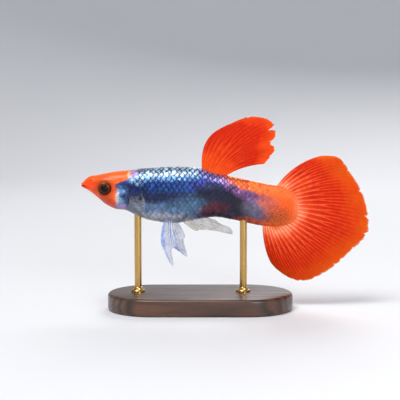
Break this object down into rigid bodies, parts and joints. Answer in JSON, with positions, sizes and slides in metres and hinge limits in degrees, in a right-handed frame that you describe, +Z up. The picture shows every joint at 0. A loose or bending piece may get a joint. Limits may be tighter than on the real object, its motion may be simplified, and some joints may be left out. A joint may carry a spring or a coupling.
{
  "type": "fish model",
  "caption": "Life-size display model of a male fancy guppy with a wide fan tail, a tall dorsal fin and a blue flank, held by rods over a small stadium-shaped base.",
  "frame": {"origin": "centre of the flat underside of the stand's base", "axes": "+X from the head towards the tail, along the length; +Y to the fish's right flank; +Z up"},
  "size_m": [0.0406, 0.013, 0.0271],
  "materials": {
    "head_skin": "painted orange, gloss",
    "gill_plate": "painted silver blue, gloss",
    "eye": "polished",
    "flank_skin": "painted iridescent blue, gloss",
    "stalk_skin": "painted orange and steel blue, gloss",
    "red_fin": "translucent red orange, satin",
    "clear_fin": "translucent grey, satin",
    "stand_wood": "dark stained, waxed",
    "stand_brass": "polished"
  },
  "bodies": {
    "root": {"head": "head_skin", "lower_jaw": "head_skin", "gill_cover_left": "gill_plate", "gill_cover_right": "gill_plate", "eye_left": "eye", "eye_right": "eye", "trunk": "flank_skin", "tail_stalk": "stalk_skin", "dorsal_fin": "red_fin", "tail_fin": "red_fin", "anal_fin": "clear_fin", "pelvic_fin_left": "clear_fin", "pelvic_fin_right": "clear_fin", "pectoral_fin_left": "clear_fin", "pectoral_fin_right": "clear_fin", "stand_base": "stand_wood", "stand_rod_front": "stand_brass", "stand_rod_rear": "stand_brass"}
  },
  "joints": []
}
